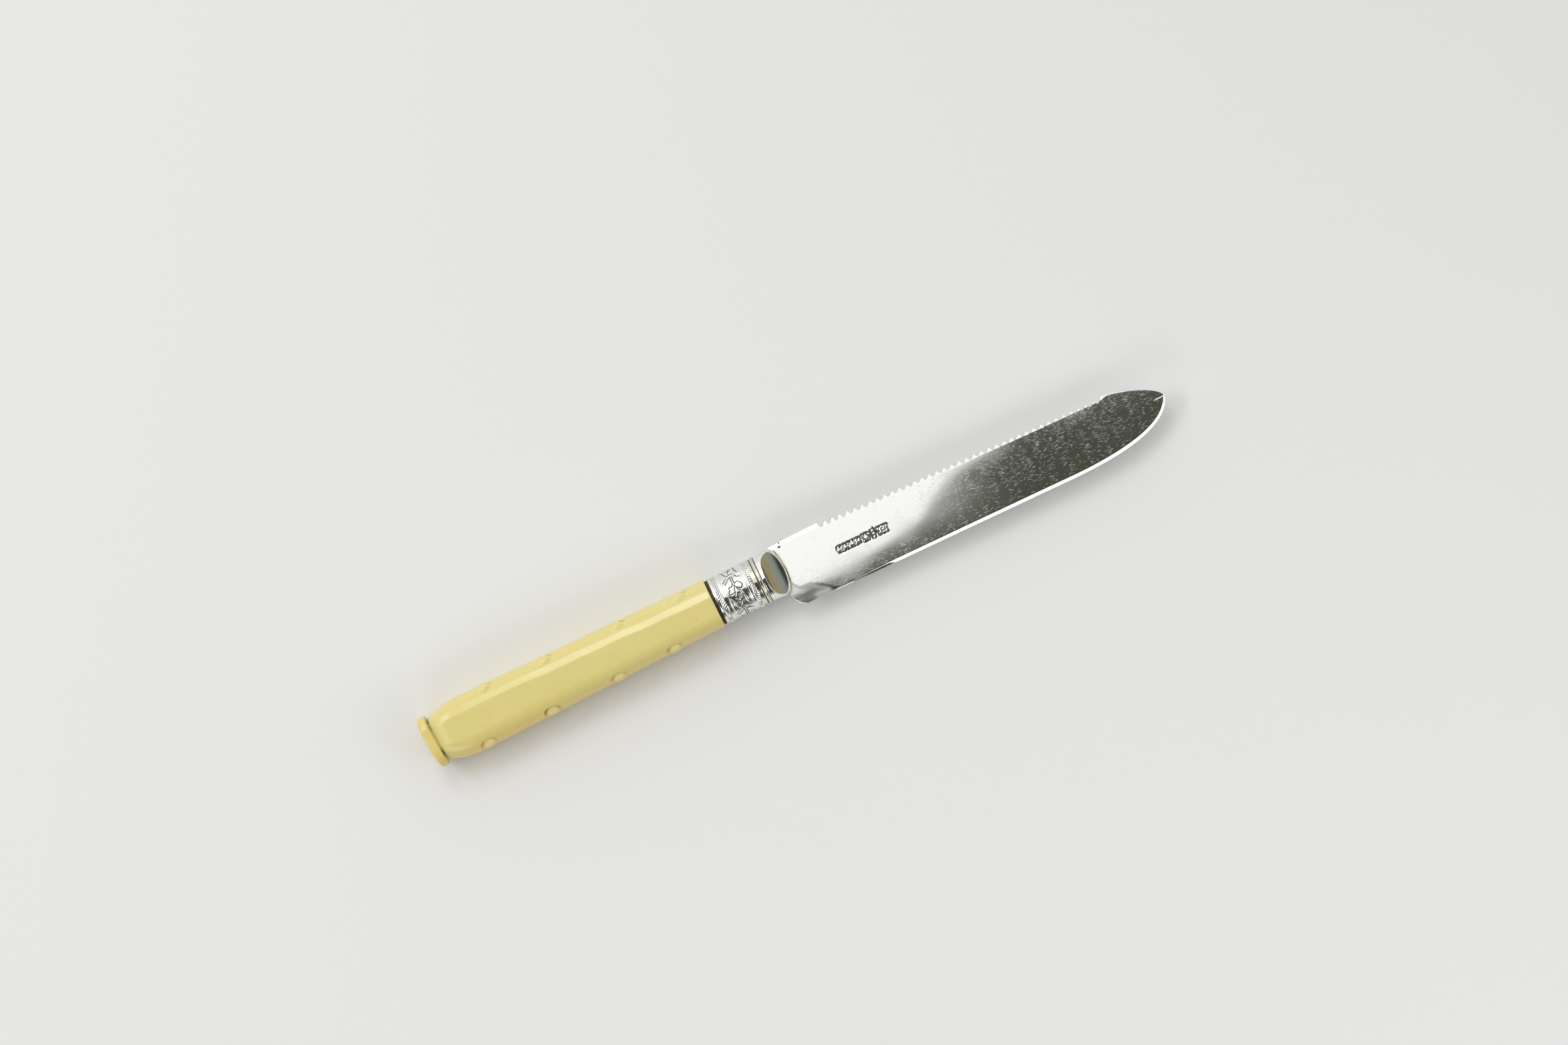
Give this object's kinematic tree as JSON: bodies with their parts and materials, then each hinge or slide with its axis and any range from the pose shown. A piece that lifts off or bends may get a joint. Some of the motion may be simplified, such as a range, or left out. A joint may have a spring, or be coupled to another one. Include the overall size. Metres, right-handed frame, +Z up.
{
  "type": "bread knife",
  "caption": "Small table bread knife with a saw-toothed silver blade, hollow-ground bolster, engraved ferrule and a carved knotted handle, lying on its side.",
  "frame": {"origin": "on the table, below the middle of the knife's length and of its depth", "axes": "+X along the knife toward the point, +Y across the blade toward the teeth, +Z up from the table"},
  "size_m": [0.2129, 0.0179, 0.0133],
  "materials": {
    "polished_silver": "polished",
    "engraved_silver": "satin",
    "carved_bone": "satin",
    "dark_resin": "matte"
  },
  "bodies": {
    "root": {"blade": "polished_silver", "ferrule": "engraved_silver", "handle": "carved_bone", "resin": "dark_resin"}
  },
  "joints": []
}
